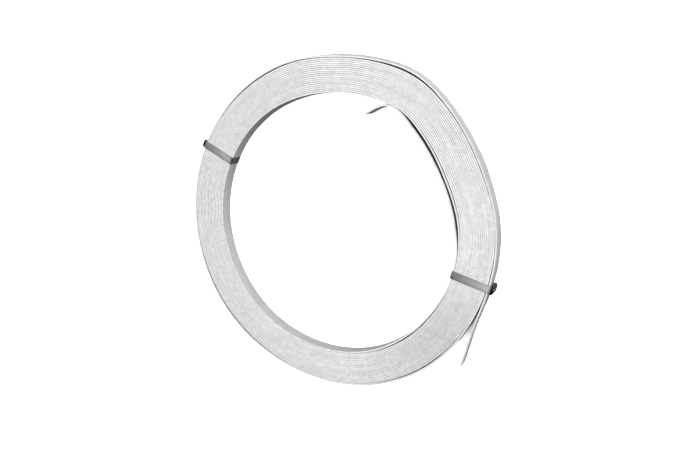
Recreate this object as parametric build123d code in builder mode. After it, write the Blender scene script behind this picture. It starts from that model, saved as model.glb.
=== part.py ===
from build123d import *
import os
from math import cos, radians, sin, sqrt

# A coil of galvanized flat steel strip, lying on its side and held by two packing bands

# Strip
strip_width = 30.0
strip_thickness = 4.0
edge_lean = 0.5

# Winding: the bore is measured where it is narrowest, at the strip's inner end
bore_radius = 272.0
turn_count = 19

# Free ends: both leave the winding under the right band, which holds them down for this far
held_length = 16.0

# Free outer end, measured along the middle of its thickness
outer_bend_radius = 1600.0
outer_bend_turn = 1.4
outer_tip_length = 134.0

# Free inner end, measured the same way: it springs off the wall, nearly touches it again and hooks
spring_radius = 152.0
spring_turn = 9.0
contact_turn = 74.0
contact_clearance = 1.0
hook_radius = 30.0
hook_turn = 60.0
hook_length = 28.0

# Packing bands
band_width = 16.0
band_thickness = 0.6
band_bend_radius = 0.4
band_clearance = 0.12
left_band_angle = 153.3
right_band_angle = 344.2

# Seals on the bands: arched sleeves with sloping ends, a little off the strip
seal_standoff = 1.2
seal_length = 26.0
seal_end_angle = 65.0
seal_crown = 3.2
seal_sheet = 0.9
seal_clearance = 0.1
lap_length = 27.5
notch_depth = 2.0
notch_width = 4.0
notch_spacing = 11.0
notch_rows = 2

# Sizes that follow from the ones above
coil_radius = bore_radius + (turn_count + 1) * strip_thickness
coil_underside = band_thickness
coil_top = coil_underside + strip_width
turn_shift = strip_thickness / 4
first_edge_radius = bore_radius + strip_thickness * 3 / 2
last_edge_radius = coil_radius - strip_thickness * 3 / 2
half_turn = 180.0


# Directions
def across(angle):
    return (cos(radians(angle)), sin(radians(angle)), 0)


def along(angle):
    return (sin(radians(angle)), -cos(radians(angle)), 0)


# Every turn of the strip begins and ends at this plane's X axis and runs clockwise
winding_plane = Plane((0, 0, coil_underside), x_dir=across(right_band_angle), z_dir=(0, 0, 1))


# A wound wall is two half circles, and it comes back one strip thickness further out
def wound_wall(first_radius):
    last_radius = first_radius + strip_thickness
    CenterArc((turn_shift, 0), last_radius - turn_shift, 0, half_turn)
    CenterArc((-turn_shift, 0), first_radius + turn_shift, half_turn, half_turn)
    Line((first_radius, 0), (last_radius, 0))


# The same wall's distance from the axis, at a clockwise angle from where it begins
def wound_radius(first_radius, turn):
    shift = -turn_shift if turn < half_turn else turn_shift
    radius = first_radius + turn_shift if turn < half_turn else first_radius + strip_thickness - turn_shift
    return shift * cos(radians(turn)) + sqrt(radius**2 - (shift * sin(radians(turn))) ** 2)


# A sleeve's section: flat back, short sides and an arched front
def sleeve_outline(start, depth, width):
    front = start + depth
    side = width / 2
    Polyline((front, -side), (start, -side), (start, side), (front, side))
    ThreePointArc((front, side), (front + seal_crown, 0), (front, -side))


# Strip: the turns between the innermost and the outermost are one turned solid. Their edges lean
# to and fro, each turn the other way from its neighbours, so that every turn shows on both ends
os.makedirs("parts", exist_ok=True)

turn_edges = []
for turn in range(turn_count - 1):
    edge_drop = 0 if turn % 2 else edge_lean
    turn_edges.append((first_edge_radius + turn * strip_thickness, edge_drop))

contact_wall = wound_radius(bore_radius, 2 * half_turn - contact_turn)
contact_radius = contact_wall - contact_clearance - strip_thickness / 2

with BuildPart() as strip_coil:
    with BuildSketch(Plane.XZ):
        with BuildLine():
            upper = Polyline([(radius, coil_top - drop) for radius, drop in turn_edges])
            lower = Polyline([(radius, coil_underside + drop) for radius, drop in turn_edges])
            Line(upper @ 0, lower @ 0)
            Line(upper @ 1, lower @ 1)
        make_face()
    revolve(axis=Axis.Z)

    # Outermost turn and the free outer end
    with BuildSketch(winding_plane):
        with BuildLine():
            wound_wall(coil_radius - strip_thickness)
        make_face()
        with Locations((coil_radius - strip_thickness, -held_length / 2)):
            Rectangle(strip_thickness, held_length)
        with BuildLine():
            bend = JernArc((coil_radius - strip_thickness / 2, 0), (0, -1), outer_bend_radius, -outer_bend_turn)
            Line(bend @ 1, bend @ 1 + (bend % 1) * outer_tip_length)
        trace(line_width=strip_thickness)
        Circle(last_edge_radius, mode=Mode.SUBTRACT)
    extrude(amount=strip_width)

    # Innermost turn and the free inner end
    with BuildSketch(winding_plane):
        Circle(first_edge_radius)
        with BuildLine():
            wound_wall(bore_radius)
        make_face(mode=Mode.SUBTRACT)
        with Locations((bore_radius + strip_thickness, held_length / 2)):
            Rectangle(strip_thickness, held_length)
        with BuildLine():
            spring = JernArc((bore_radius + strip_thickness / 2, 0), (0, 1), spring_radius, spring_turn)
            contact = Vector(contact_radius, 0).rotate(Axis.Z, contact_turn)
            bow = TangentArc(spring @ 1, contact, tangent=spring % 1)
            hook = JernArc(bow @ 1, bow % 1, hook_radius, hook_turn)
            Line(hook @ 1, hook @ 1 + (hook % 1) * hook_length)
        trace(line_width=strip_thickness)
    extrude(amount=strip_width)

strip_coil.part.label = "strip_coil"
export_step(strip_coil.part, "parts/strip_coil.step")

# Bands and seals
tightest_wall = spring_radius - strip_thickness / 2
wall_sag = tightest_wall - sqrt(tightest_wall**2 - (band_width / 2) ** 2)
band_places = {"left": left_band_angle, "right": right_band_angle}
for side, angle in band_places.items():
    turn = (right_band_angle - angle) % (2 * half_turn)
    inner_wall = wound_radius(bore_radius, turn)
    outer_wall = wound_radius(coil_radius - strip_thickness, turn if turn else 2 * half_turn)
    sleeve_start = outer_wall + seal_standoff
    loop_start = inner_wall - wall_sag - band_bend_radius
    loop_end = sleeve_start + seal_sheet + seal_clearance
    loop_length = loop_end - loop_start
    loop_height = strip_width + band_clearance
    loop_middle = (loop_start + loop_length / 2, coil_underside + loop_height / 2)
    lap_middle = (loop_end + band_thickness * 3 / 2, coil_underside + strip_width / 2)
    band_plane = Plane((0, 0, 0), x_dir=across(angle), z_dir=along(angle))

    # Band: a closed loop round the strip's section, doubled where its ends lap
    with BuildPart() as band:
        with BuildSketch(band_plane):
            with Locations(loop_middle):
                RectangleRounded(
                    loop_length + 2 * band_thickness,
                    loop_height + 2 * band_thickness,
                    band_bend_radius + band_thickness,
                )
                RectangleRounded(loop_length, loop_height, band_bend_radius, mode=Mode.SUBTRACT)
            with Locations(lap_middle):
                Rectangle(band_thickness, lap_length)
        extrude(amount=band_width / 2, both=True)
    band.part.label = f"{side}_band"
    export_step(band.part, f"parts/{side}_band.step")

    # Seal: a sleeve folded round both layers of the band and notched along its two sides
    hollow_depth = 2 * (band_thickness + seal_clearance)
    hollow_width = band_width + 2 * seal_clearance
    sleeve_depth = hollow_depth + 2 * seal_sheet
    sleeve_width = hollow_width + 2 * seal_sheet
    seal_depth = sleeve_depth + seal_crown
    sleeve_plane = Plane((0, 0, lap_middle[1] - seal_length / 2), x_dir=across(angle), z_dir=(0, 0, 1))
    with BuildPart() as seal:
        with BuildSketch(sleeve_plane):
            with BuildLine():
                sleeve_outline(sleeve_start, sleeve_depth, sleeve_width)
            make_face()
            with BuildLine():
                sleeve_outline(sleeve_start + seal_sheet, hollow_depth, hollow_width)
            make_face(mode=Mode.SUBTRACT)
        extrude(amount=seal_length)
        with BuildSketch(band_plane):
            with Locations((sleeve_start + seal_depth / 2, lap_middle[1])):
                Trapezoid(seal_length, seal_depth, seal_end_angle, rotation=-half_turn / 2)
        extrude(amount=sleeve_width, both=True, mode=Mode.INTERSECT)
        with BuildSketch(Plane((0, 0, lap_middle[1]), x_dir=along(angle), z_dir=across(angle))):
            with GridLocations(sleeve_width, notch_spacing, 2, notch_rows):
                Rectangle(notch_depth, notch_width)
        extrude(amount=sleeve_start + seal_depth, mode=Mode.SUBTRACT)
    seal.part.label = f"{side}_seal"
    export_step(seal.part, f"parts/{side}_seal.step")
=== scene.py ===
from math import atan2, copysign, cos, degrees, exp, radians, sin
import bmesh
import bpy
from mathutils import Matrix, Vector


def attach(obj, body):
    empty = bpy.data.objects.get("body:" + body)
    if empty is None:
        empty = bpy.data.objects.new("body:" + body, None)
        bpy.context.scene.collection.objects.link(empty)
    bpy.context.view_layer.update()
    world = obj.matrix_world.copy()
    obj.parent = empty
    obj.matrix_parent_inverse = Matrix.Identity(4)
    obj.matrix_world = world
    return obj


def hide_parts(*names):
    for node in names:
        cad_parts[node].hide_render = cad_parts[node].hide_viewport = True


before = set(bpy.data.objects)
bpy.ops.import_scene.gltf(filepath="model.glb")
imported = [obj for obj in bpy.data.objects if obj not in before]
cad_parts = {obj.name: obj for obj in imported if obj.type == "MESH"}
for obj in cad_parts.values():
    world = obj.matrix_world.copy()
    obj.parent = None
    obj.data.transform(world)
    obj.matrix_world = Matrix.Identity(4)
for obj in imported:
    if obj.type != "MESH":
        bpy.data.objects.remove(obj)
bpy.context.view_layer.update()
mm = 0.001
print("frame loaded:", sorted(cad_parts))


def linear(hexColour):  # sRGB hex to the linear values that Blender works in
    parts = [int(hexColour[i:i + 2], 16) / 255 for i in (1, 3, 5)]
    return [c / 12.92 if c <= 0.04045 else ((c + 0.055) / 1.055) ** 2.4 for c in parts] + [1.0]


def addNode(tree, kind, links=None, **settings):  # a link is a socket, or else a plain value
    made = tree.nodes.new(kind)
    for name, value in settings.items():
        setattr(made, name, value)
    for socket, value in (links or {}).items():
        if isinstance(value, bpy.types.NodeSocket):
            tree.links.new(value, made.inputs[socket])
        else:
            made.inputs[socket].default_value = value
    return made


def newMaterial(name):
    material = bpy.data.materials.new(name)
    material.use_nodes = True
    material.node_tree.nodes.clear()
    return material, material.node_tree


def noise(tree, vector, scale, detail):
    made = addNode(tree, "ShaderNodeTexNoise", {"Vector": vector, "Scale": scale, "Detail": detail})
    return made.outputs["Fac"]


def greyRamp(tree, factor, *stops):  # each stop is its place on the ramp and its colour
    ramp = addNode(tree, "ShaderNodeValToRGB", {"Fac": factor})
    for element, (place, colour) in zip(ramp.color_ramp.elements, stops):
        element.position, element.color = place, linear(colour)
    return ramp.outputs["Color"]


def mixColours(tree, factor, first, second, blend="MIX"):
    links = {"Factor": factor, "A": first, "B": second}
    return addNode(tree, "ShaderNodeMix", links, data_type="RGBA", blend_type=blend).outputs["Result"]


def spread(tree, value, low, high):  # 0 to 1 becomes low to high
    links = {"Value": value, "To Min": low, "To Max": high}
    return addNode(tree, "ShaderNodeMapRange", links).outputs["Result"]


def coverWith(tree, sockets):
    skin = addNode(tree, "ShaderNodeBsdfPrincipled", sockets)
    addNode(tree, "ShaderNodeOutputMaterial", {"Surface": skin.outputs["BSDF"]})


def newPoints(made):  # the points among what a bmesh operator made
    return [g for g in made if isinstance(g, bmesh.types.BMVert)]


def shadeSmooth(bm, crease):  # all but the edges that bend by more than the crease, in degrees
    for face in bm.faces:
        face.smooth = True
    for edge in bm.edges:
        edge.smooth = edge.calc_face_angle(0) < radians(crease)


def turnIntoPlace(bm, angle):  # a piece drawn in mm along X goes to its angle on the coil
    bmesh.ops.rotate(bm, cent=(0, 0, 0), matrix=Matrix.Rotation(radians(angle), 3, "Z"), verts=bm.verts)
    bmesh.ops.scale(bm, vec=(mm, mm, mm), verts=bm.verts)
    bmesh.ops.recalc_face_normals(bm, faces=bm.faces)


def meshObject(bm, name, material):
    mesh = bpy.data.meshes.new(name)
    bm.to_mesh(mesh)
    bm.free()
    mesh.materials.append(material)
    piece = bpy.data.objects.new(name, mesh)
    bpy.context.scene.collection.objects.link(piece)
    return piece


def bumps(rows, angle, share=0):  # share runs from the first height in a row to the last
    total = 0
    for where, wide, first, *last in rows:
        away = (angle - where + 180) % 360 - 180
        height = first + share * (last[0] - first) if last else first
        total += height * exp(-(away / wide) ** 2)
    return total


def smoothLine(points, spacing):  # a line from the second point up to the last but one, which it leaves out
    line = []
    for before, start, end, after in zip(points, points[1:], points[2:], points[3:]):
        steps = max(2, round((end - start).length / spacing))
        for k in range(steps):
            t = k / steps
            line.append(0.5 * (2 * start + (end - before) * t
                               + (2 * before - 5 * start + 4 * end - after) * t ** 2
                               + (3 * start - before - 3 * end + after) * t ** 3))
    return line


def polar(angle, radius):
    return Vector((radius * cos(radians(angle)), radius * sin(radians(angle))))


# Hot-dip galvanized steel: the zinc froze pale and matt and the rolls drew it lengthwise; the wide
# faces are darkened by painted shade, which leaves the edges brighter
zinc, tree = newMaterial("hotDipZinc")
uvs = addNode(tree, "ShaderNodeUVMap", uv_map="alongStrip").outputs["UV"]
place = addNode(tree, "ShaderNodeTexCoord").outputs["Object"]
drawn = addNode(tree, "ShaderNodeMapping", {"Vector": uvs, "Scale": (14, 900, 1)})  # 70 x 1.1 mm
streaks = noise(tree, drawn.outputs["Vector"], scale=1.0, detail=4.0)
slow = addNode(tree, "ShaderNodeMapping", {"Vector": uvs, "Scale": (3.2, 0.5, 1)})  # every 300 mm
drift = noise(tree, slow.outputs["Vector"], scale=1.0, detail=2.0)
both = addNode(tree, "ShaderNodeMath", {0: streaks, 1: drift}, operation="ADD").outputs[0]
mean = addNode(tree, "ShaderNodeMath", {0: both, 1: 0.5}, operation="MULTIPLY").outputs[0]
tone = greyRamp(tree, mean, (0.3, "#868686"), (0.7, "#9e9e9e"))
spangle = addNode(tree, "ShaderNodeTexVoronoi", {"Vector": place, "Scale": 160.0})  # 6 mm flowers
grain = addNode(tree, "ShaderNodeSeparateColor", {"Color": spangle.outputs["Color"]})
flowers = mixColours(tree, 0.12, tone, grain.outputs["Red"], "SOFT_LIGHT")  # one grey for each flower
faceShadeMask = addNode(tree, "ShaderNodeAttribute", attribute_name="paintedFaceShade")  # painted shade that darkens the wide faces
relief = addNode(tree, "ShaderNodeBump", {"Height": streaks, "Strength": 0.12, "Distance": 0.4 * mm})
# painted shade: the base colour is multiplied by #e4e4e4 on the wide faces
coverWith(tree, {
    "Base Color": mixColours(tree, faceShadeMask.outputs["Fac"], flowers, linear("#e4e4e4"), "MULTIPLY"),
    "Roughness": spread(tree, streaks, 0.28, 0.46), "Normal": relief.outputs["Normal"],
    "Metallic": 0.55, "Specular Tint": linear("#808080"),  # dull zinc hardly mirrors at a low angle
})

# Cold-rolled packing band: bare mid grey steel, finely scored; its flat top is lightened, partly by wear and
# partly as a painted highlight
bandSteel, tree = newMaterial("coldRolledBand")
place = addNode(tree, "ShaderNodeTexCoord").outputs["Object"]
scores = noise(tree, place, scale=420.0, detail=5.0)  # 2.4 mm
clouds = noise(tree, place, scale=45.0, detail=2.0)  # 22 mm
mean = addNode(tree, "ShaderNodeMix", {"Factor": 0.5, "A": clouds, "B": scores}).outputs["Result"]
tone = greyRamp(tree, mean, (0.38, "#262626"), (0.64, "#4e4e4e"))
sheenAndScuffNode = addNode(tree, "ShaderNodeAttribute", attribute_name="sheenAndScuff")
# painted highlight and wear: the flat top is lightened towards #9a9a9a
coverWith(tree, {
    "Base Color": mixColours(tree, sheenAndScuffNode.outputs["Fac"], tone, linear("#9a9a9a")),
    "Roughness": spread(tree, scores, 0.34, 0.52), "Metallic": 0.9,
})

# Blued sheet steel: a dark oxide skin, rubbed to grey in small patches
sealSteel, tree = newMaterial("bluedSheet")
place = addNode(tree, "ShaderNodeTexCoord").outputs["Object"]
rubs = noise(tree, place, scale=180.0, detail=4.0)  # 6 mm
coverWith(tree, {
    "Base Color": greyRamp(tree, rubs, (0.4, "#1a1a1a"), (0.7, "#383838")),
    "Roughness": spread(tree, rubs, 0.3, 0.5), "Metallic": 0.9,
})
print("materials made")


# The strip is drawn as a straight bar and then wound
strip = {
    "width": 30.0, "thickness": 3.8, "edgeRadius": 0.5, "underside": 0.6,  # mm
    "firstRadius": 274.0, "pitch": 4.0, "turns": 19,  # middle of the first turn, and what each turn adds
    "rootAngle": 344.2, "step": 2.4, "endSpacing": 5.0,  # degrees of the wound stations, mm of the free ones
    # where it is out of round: degrees, degrees wide, mm at the bore, mm at the rim
    "outOfRound": [(24, 16, -6.1, -6.9), (58, 11, 8.3, 5.2), (88, 14, -1.4, -5.0), (104, 16, -2.4, -1.4),
                   (121, 14, 0, -1.7), (203, 20, -1.6, -1.4), (248, 26, -0.9, -4.0), (300, 30, 2.4, 0.8),
                   (343, 12, 2.4, -0.7)],
    # how far the outermost and innermost turns stand off: degrees, degrees wide, mm
    "looseOuter": [(28, 22, 0.9), (62, 14, 3.1), (118, 20, 2.0), (214, 24, 2.4), (240, 14, 1.2),
                   (308, 18, 1.8), (347, 9, 1.2)],
    "looseInner": [(312, 20, -1.9), (24, 22, -1.5)],
    "looseOver": 20,  # degrees in which the outermost turn comes loose
    # middle of the free ends, tip first on the inner one: degrees, mm from the axis
    "innerEnd": [(71.5, 244.8), (69.8, 252.7), (68, 261.5), (66.2, 269.6), (64.3, 276.2), (61.8, 280.2),
                 (58, 280.5), (54, 276.8), (50, 272.2), (45, 268.6), (40, 265.6), (34, 263.0), (28, 262.0),
                 (20, 262.6), (10, 265.3), (0, 269.7), (353, 274.0)],
    "outerEnd": [(341.8, 350.7), (337.8, 351.8), (333.5, 354.2), (329.2, 359.3), (327.2, 362.9),
                 (324, 370.0), (320.9, 378.3), (317.9, 387.6)],
    # how the free ends lean over, top outwards: degrees, degrees wide, degrees of lean
    "innerLean": [(27, 20, -7)],
    "outerLean": 2.0, "leanStart": 339, "leanOver": 8,  # sets in from here on, over so many degrees
    "fan": [(87, 22, 0, -9)], "fanPower": 6,  # the last few turns lean here too, the outermost most
    # how much tighter the turns lie, as mm of thickness: degrees, degrees wide, mm
    "tight": [(6, 20, 0.14), (276, 16, 0.1), (52, 14, -0.12), (128, 16, -0.12), (318, 20, -0.3)],
    # where the rounded edges are sharper: degrees, degrees wide, share
    "crisp": [(1, 24, 0.65), (276, 14, 0.5)],
    "wander": 0.12, "wanderRates": (1.37, 0.61),  # mm that turns lie unevenly tight, and waves in each turn
    # mm that the edges dip, mm along the strip for a radian of each wave, and radians that one is shifted
    "uneven": 0.42, "waves": (1741, 613, 389), "sway": 2.1,
    "heldWide": 7, "heldFirm": 1.3,  # degrees beside a band, and how firmly, that it holds the edges level
    "edgeSteps": 3, "faceSpread": 2.7,  # facets of a rounded edge, and how far a wide face's rows move apart
    "crease": 50,  # degrees of bend from which an edge is shaded sharp
}
bandAngles = {"left": 153.3, "right": 344.2}


def woundPoint(turned):  # degrees clockwise from where the strip leaves its inner end
    angle = strip["rootAngle"] - turned
    build = turned / 360 / strip["turns"]
    radius = strip["firstRadius"] + strip["pitch"] * turned / 360 + bumps(strip["outOfRound"], angle, build)
    quick, slow = (sin(radians(turned * rate)) for rate in strip["wanderRates"])
    radius += strip["wander"] * quick * slow
    last = turned - (strip["turns"] - 1) * 360
    if last > 0:
        radius += bumps(strip["looseOuter"], angle) * min(1, last / strip["looseOver"])
    elif turned < 360:
        radius += bumps(strip["looseInner"], angle)
    return polar(angle, radius)


woundSteps = round(strip["turns"] * 360 / strip["step"])
wound = [woundPoint(k * strip["step"]) for k in range(woundSteps + 1)]
innerEnd = [polar(*p) for p in strip["innerEnd"]]
outerEnd = [polar(*p) for p in strip["outerEnd"]]
innerLine = smoothLine([2 * innerEnd[0] - innerEnd[1]] + innerEnd + wound[:2], strip["endSpacing"])
outerLine = smoothLine(wound[-2:] + outerEnd + [2 * outerEnd[-1] - outerEnd[-2]], strip["endSpacing"])
line = innerLine + wound[:-1] + outerLine + [outerEnd[-1]]
ahead = [(line[min(i + 1, len(line) - 1)] - line[max(i - 1, 0)]).normalized() for i in range(len(line))]
lengths = [0.0]
for start, end in zip(line, line[1:]):
    lengths.append(lengths[-1] + (end - start).length)
print("strip line:", len(line), "stations,", round(lengths[-1] / 1000, 1), "m long")


def leanAt(i, angle):  # degrees that the strip leans over at a station
    if i < len(innerLine):
        return bumps(strip["innerLean"], angle)
    if i < len(line) - len(outerLine):
        return bumps(strip["fan"], angle, ((i - len(innerLine)) / woundSteps) ** strip["fanPower"])
    return strip["outerLean"] * min(1, max(0, (strip["leanStart"] - angle % 360) / strip["leanOver"]))


def dipAt(i, angle):  # mm that the edges stand lower at a station, and none under the bands
    slow, middle, quick = (lengths[i] / wave for wave in strip["waves"])
    held = [(where, strip["heldWide"], strip["heldFirm"]) for where in bandAngles.values()]
    wave = 0.5 + 0.5 * sin(middle + strip["sway"] * sin(slow)) * sin(quick)
    return strip["uneven"] * wave * (1 - min(1, bumps(held, angle)))


# The section first, with X through its thickness and Y up its width, then one ring for each station
bm = bmesh.new()
bmesh.ops.create_grid(bm, x_segments=1, y_segments=1, size=0.5)
bmesh.ops.scale(bm, vec=(strip["thickness"], strip["width"], 1), verts=bm.verts)
bmesh.ops.bevel(bm, geom=bm.verts[:], offset=strip["edgeRadius"], segments=strip["edgeSteps"], profile=0.5,
                affect="VERTICES", material=-1)
tall = [e for e in bm.edges if e.calc_length() > strip["width"] / 2]
cut = bmesh.ops.subdivide_edges(bm, edges=tall, cuts=2)
for v in newPoints(cut["geom_inner"]):
    v.co.y *= strip["faceSpread"]  # keeps the wide faces flat up to their rounded edges
pulled = bmesh.ops.extrude_face_region(bm, geom=bm.faces[:])
bmesh.ops.translate(bm, vec=(0, 0, len(line) - 1), verts=newPoints(pulled["geom"]))
rails = [e for e in bm.edges if abs(e.verts[0].co.z - e.verts[1].co.z) > 0.5]
bmesh.ops.subdivide_edges(bm, edges=rails, cuts=len(line) - 2, use_grid_fill=True)
bmesh.ops.recalc_face_normals(bm, faces=bm.faces)
shadeSmooth(bm, strip["crease"])
along = bm.loops.layers.uv.new("alongStrip")
for face in bm.faces:
    for loop in face.loops:
        at = loop.vert.co
        loop[along].uv = (lengths[round(at.z)] * mm, (at.y + at.x) * mm)

# Then every point goes to its place on the line
halfThick, halfWide = strip["thickness"] / 2, strip["width"] / 2
paintedFaceShade = bm.verts.layers.float.new("paintedFaceShade")
for v in bm.verts:
    i = round(v.co.z)
    angle = degrees(atan2(line[i].y, line[i].x))
    lean = radians(leanAt(i, angle))
    fromEdge = halfWide - abs(v.co.y)
    # painted shade: full on the wide faces, fading out across the rounded edges
    v[paintedFaceShade] = min(1, max(0, fromEdge) / strip["edgeRadius"])
    if fromEdge < 1.01 * strip["edgeRadius"]:  # a point of a rounded edge, with a margin for float error
        corner = Vector((copysign(halfThick, v.co.x), copysign(halfWide, v.co.y)))
        v.co.xy = v.co.xy.lerp(corner, bumps(strip["crisp"], angle))
    v.co.x *= 1 + bumps(strip["tight"], angle) / strip["thickness"]
    down = halfWide - v.co.y  # the upper edge stays where it is
    at = line[i] + Vector((-ahead[i].y, ahead[i].x)) * (v.co.x * cos(lean) - down * sin(lean))
    lower = down * cos(lean) + v.co.x * sin(lean) + dipAt(i, angle)
    v.co = (at.x * mm, at.y * mm, (strip["underside"] + strip["width"] - lower) * mm)
bmesh.ops.recalc_face_normals(bm, faces=bm.faces)
coil = meshObject(bm, "wound_strip", zinc)
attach(coil, "root")
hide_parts("strip_coil")
print("strip wound:", len(coil.data.polygons), "faces")


# Packing bands: a flat loop round the strip's section, lapped under the seal
band = {
    "width": 16.0, "thickness": 0.6, "bend": 2.0, "edgeRadius": 0.12, "underside": 0.02, "top": 31.25,  # mm
    "lap": 27.5, "seam": 15.6,  # length of the lap and height of its middle
    "left": {"inner": 273.2, "outer": 353.0},  # outside of the loop, from the axis
    "right": {"inner": 272.2, "outer": 354.9},
    # how far the flat top is lightened, by wear and painted highlight, at its inner and its outer end
    "sheenAndRub": {"left": (0.42, 0.1), "right": (0.12, 0.62)},
    "sheenStart": 2, "sheenOver": 5, "sheenDown": 2,  # mm in from the inner end, mm to set in, mm below the top
    "bendSteps": 5, "cuts": 19,  # facets of a bend, and cuts across a straight side
    "sharp": 60, "crease": 25,  # degrees of bend from which an edge is rounded, and shaded sharp
}

for side, angle in bandAngles.items():
    inner, outer = band[side]["inner"], band[side]["outer"]
    middle = (band["top"] + band["underside"]) / 2
    bm = bmesh.new()
    bmesh.ops.create_grid(bm, x_segments=1, y_segments=1, size=0.5)
    bmesh.ops.scale(bm, vec=(outer - inner, band["top"] - band["underside"], 1), verts=bm.verts)
    bmesh.ops.bevel(bm, geom=bm.verts[:], offset=band["bend"], segments=band["bendSteps"], profile=0.5,
                    affect="VERTICES", material=-1)
    bmesh.ops.delete(bm, geom=bm.faces[:], context="FACES_ONLY")
    straight = [e for e in bm.edges if e.calc_length() > band["width"]]
    bmesh.ops.subdivide_edges(bm, edges=straight, cuts=band["cuts"])
    pulled = bmesh.ops.extrude_edge_only(bm, edges=bm.edges[:])
    bmesh.ops.translate(bm, vec=(0, 0, band["width"]), verts=newPoints(pulled["geom"]))
    bmesh.ops.recalc_face_normals(bm, faces=bm.faces)
    bmesh.ops.solidify(bm, geom=bm.faces[:], thickness=band["thickness"])
    lap = bmesh.ops.create_cube(bm, size=1)["verts"]
    bmesh.ops.scale(bm, vec=(band["thickness"], band["lap"], band["width"]), verts=lap)
    lapPlace = ((outer - inner + band["thickness"]) / 2, band["seam"] - middle, band["width"] / 2)
    bmesh.ops.translate(bm, vec=lapPlace, verts=lap)
    sharp = [e for e in bm.edges if e.calc_face_angle(0) > radians(band["sharp"])]
    bmesh.ops.bevel(bm, geom=sharp, offset=band["edgeRadius"], segments=2, profile=0.5,
                    affect="EDGES", material=-1)
    bmesh.ops.translate(bm, vec=((outer + inner) / 2, middle, -band["width"] / 2), verts=bm.verts)
    bmesh.ops.rotate(bm, cent=(0, 0, 0), matrix=Matrix.Rotation(radians(90), 3, "X"), verts=bm.verts)
    turnIntoPlace(bm, angle)
    shadeSmooth(bm, band["crease"])
    # painted highlight and wear along the flat top, ramped from the inner end to the outer end
    sheenAndScuff = bm.verts.layers.float.new("sheenAndScuff")
    first, last = band["sheenAndRub"][side]
    for v in bm.verts:
        reach, high = v.co.xy.length / mm - inner, v.co.z / mm
        flat = min((reach - band["sheenStart"]) / band["sheenOver"], (high - band["top"]) / band["sheenDown"] + 1)
        share = min(1, max(0, reach / (outer - inner)))
        v[sheenAndScuff] = min(1, max(0, flat)) * (first + (last - first) * share)
    piece = meshObject(bm, side + "_packing_band", bandSteel)
    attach(piece, "root")
    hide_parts(side + "_band")
print("bands bent")


# Seals: a sheet sleeve folded round both layers, pinched twice along its length
seal = {
    "length": 25.8, "width": 19.0, "depth": 8.6, "sheet": 0.8,  # mm
    "start": {"left": 351.4, "right": 353.3}, "middle": 15.6,  # back from the axis, and height
    # section: share of the depth behind the widest part, and how square the back, front and sides are
    "behind": 0.42, "backPower": 0.4, "frontPower": 0.85, "sidePower": 0.55,
    # crimps: mm from the middle, mm wide, share pinched in, share of the front pressed down at the sides
    "crimps": (-5.5, 5.5), "crimpWide": 1.7, "crimpIn": 0.15, "crimpDown": 0.22, "crimpPower": 3,
    "endDrop": 0.12, "endPower": 6,  # share of the front that the ends are lower
    "segments": 48, "cuts": 27, "crease": 40,  # points round it, cuts along it, degrees shaded sharp
}

for side, angle in bandAngles.items():
    bm = bmesh.new()
    ring = bmesh.ops.create_circle(bm, cap_ends=False, segments=seal["segments"], radius=1)["verts"]
    for v in ring:  # flat back, short sides and an arched front
        atFront = v.co.x > 0
        front = copysign(abs(v.co.x) ** seal["frontPower" if atFront else "backPower"], v.co.x)
        wide = copysign(abs(v.co.y) ** seal["sidePower"], v.co.y)
        deep = seal["behind"] + (1 - seal["behind"] if atFront else seal["behind"]) * front
        v.co = (deep * seal["depth"], wide * seal["width"] / 2, 0)
    pulled = bmesh.ops.extrude_edge_only(bm, edges=bm.edges[:])
    bmesh.ops.translate(bm, vec=(0, 0, seal["length"]), verts=newPoints(pulled["geom"]))
    rails = [e for e in bm.edges if abs(e.verts[0].co.z - e.verts[1].co.z) > seal["length"] / 2]
    bmesh.ops.subdivide_edges(bm, edges=rails, cuts=seal["cuts"], use_grid_fill=True)
    for v in bm.verts:
        v.co.z -= seal["length"] / 2
        pinch = sum(exp(-((v.co.z - at) / seal["crimpWide"]) ** 2) for at in seal["crimps"])
        sideways = abs(v.co.y) / seal["width"] * 2
        endways = abs(v.co.z) / seal["length"] * 2
        v.co.y *= 1 - seal["crimpIn"] * pinch
        v.co.x *= (1 - seal["crimpDown"] * pinch * sideways ** seal["crimpPower"]
                   - seal["endDrop"] * endways ** seal["endPower"])
    bmesh.ops.recalc_face_normals(bm, faces=bm.faces)
    bmesh.ops.solidify(bm, geom=bm.faces[:], thickness=seal["sheet"])
    bmesh.ops.translate(bm, vec=(seal["start"][side], 0, seal["middle"]), verts=bm.verts)
    turnIntoPlace(bm, angle)
    shadeSmooth(bm, seal["crease"])
    piece = meshObject(bm, side + "_crimped_seal", sealSteel)
    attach(piece, "root")
    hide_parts(side + "_seal")
print("seals crimped")


# Floor and sky look paler to the camera than the light they give, and a ring of floor under the turns is
# painted black as painted shade
stage = {
    "floorHalf": 20, "floorGives": "#a4a4a4", "floorSeen": 1.6, "skyGives": 0.45, "skySeen": 1.0,
    "ringRadius": 0.313, "ringHalf": 0.033,  # middle and half width of the ring of painted shade, in m
    # place, aim, size, watts, and whether the lamp shows in glossy metal
    "lamps": {
        "overhead": ((-1.5, -0.5, 2.7), (-1.5, -0.5, 0), 2.8, 102, True),
        "window": ((2.2, 2.5, 1.15), (0, 0, 0.1), 3.1, 820, False),
    },
}

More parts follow.
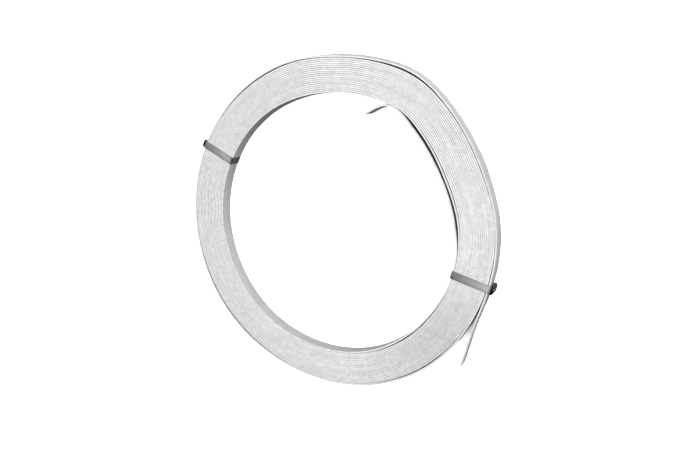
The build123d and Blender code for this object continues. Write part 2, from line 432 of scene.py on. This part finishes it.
floor, tree = newMaterial("paleFloor")
ray = addNode(tree, "ShaderNodeLightPath").outputs["Is Camera Ray"]
seen = mixColours(tree, ray, linear(stage["floorGives"]), [stage["floorSeen"]] * 3 + [1.0])
place = addNode(tree, "ShaderNodeTexCoord").outputs["Object"]
fromAxis = addNode(tree, "ShaderNodeVectorMath", {0: place}, operation="LENGTH").outputs["Value"]
inRing = {0: fromAxis, 1: stage["ringRadius"], 2: stage["ringHalf"]}
paintedShadeRing = addNode(tree, "ShaderNodeMath", inRing, operation="COMPARE").outputs[0]
# painted shade: the floor is black in the ring that the turns cover
coverWith(tree, {
    "Base Color": mixColours(tree, paintedShadeRing, seen, linear("#000000")),
    "Roughness": 0.9, "Specular IOR Level": 0.1,
})
bm = bmesh.new()
bmesh.ops.create_grid(bm, x_segments=1, y_segments=1, size=stage["floorHalf"])
ground = meshObject(bm, "floor", floor)

world = bpy.data.worlds.new("softStudio")
world.use_nodes = True
tree = world.node_tree
tree.nodes.clear()
ray = addNode(tree, "ShaderNodeLightPath").outputs["Is Camera Ray"]
strength = spread(tree, ray, stage["skyGives"], stage["skySeen"])
sky = addNode(tree, "ShaderNodeBackground", {"Color": linear("#ffffff"), "Strength": strength})
addNode(tree, "ShaderNodeOutputWorld", {"Surface": sky.outputs["Background"]})
bpy.context.scene.world = world

for name, (spot, aim, size, power, shows) in stage["lamps"].items():
    lamp = bpy.data.lights.new(name, "AREA")
    lamp.size, lamp.energy = size, power
    holder = bpy.data.objects.new(name, lamp)
    holder.location = spot
    holder.rotation_euler = (Vector(aim) - Vector(spot)).to_track_quat("-Z", "Y").to_euler()
    holder.visible_glossy = shows
    bpy.context.scene.collection.objects.link(holder)

view = {
    "place": (0.6751, 0.2890, 1.3273), "lens": 36.79, "sensor": 36,
    "right": (0.8993, 0.0, -0.4374), "up": (-0.0845, 0.9811, -0.1738),
}
camera = bpy.data.objects.new("camera", bpy.data.cameras.new("camera"))
right, up = Vector(view["right"]).normalized(), Vector(view["up"]).normalized()
turn = Matrix((right, up, right.cross(up))).transposed()
camera.matrix_world = Matrix.Translation(view["place"]) @ turn.to_4x4()
camera.data.lens, camera.data.sensor_width = view["lens"], view["sensor"]
camera.data.sensor_fit = "HORIZONTAL"
bpy.context.scene.collection.objects.link(camera)
bpy.context.scene.camera = camera
bpy.context.scene.view_settings.view_transform = "Standard"
print("stage and camera set")
